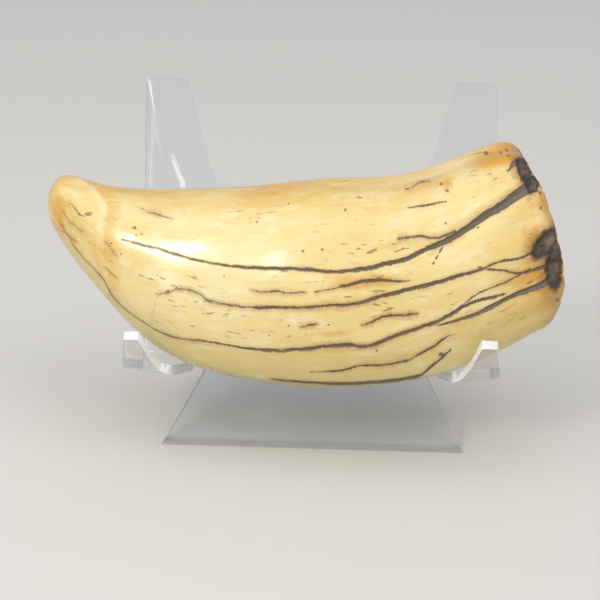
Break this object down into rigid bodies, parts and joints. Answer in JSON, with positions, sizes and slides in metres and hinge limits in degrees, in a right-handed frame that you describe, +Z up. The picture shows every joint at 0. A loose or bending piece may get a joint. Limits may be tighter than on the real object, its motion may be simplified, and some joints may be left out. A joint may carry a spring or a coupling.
{
  "type": "whale tooth on clear easel stand",
  "caption": "Polished, age-cracked whale tooth lying lengthwise in the hooks of a bent clear easel stand, for display on a shelf or table.",
  "frame": {"origin": "middle of the underside of the whole, on the surface that the stand stands on", "axes": "+X along the tooth toward its root end, +Y toward the back of the stand, +Z up"},
  "size_m": [0.1614, 0.11, 0.1069],
  "materials": {
    "ivory": "polished old ivory, cream to amber, with dark age cracks",
    "clear_sheet": "clear cast acrylic sheet, cut and heat-bent, lightly scratched"
  },
  "bodies": {
    "root": {"tooth": "ivory", "stand": "clear_sheet"}
  },
  "joints": []
}
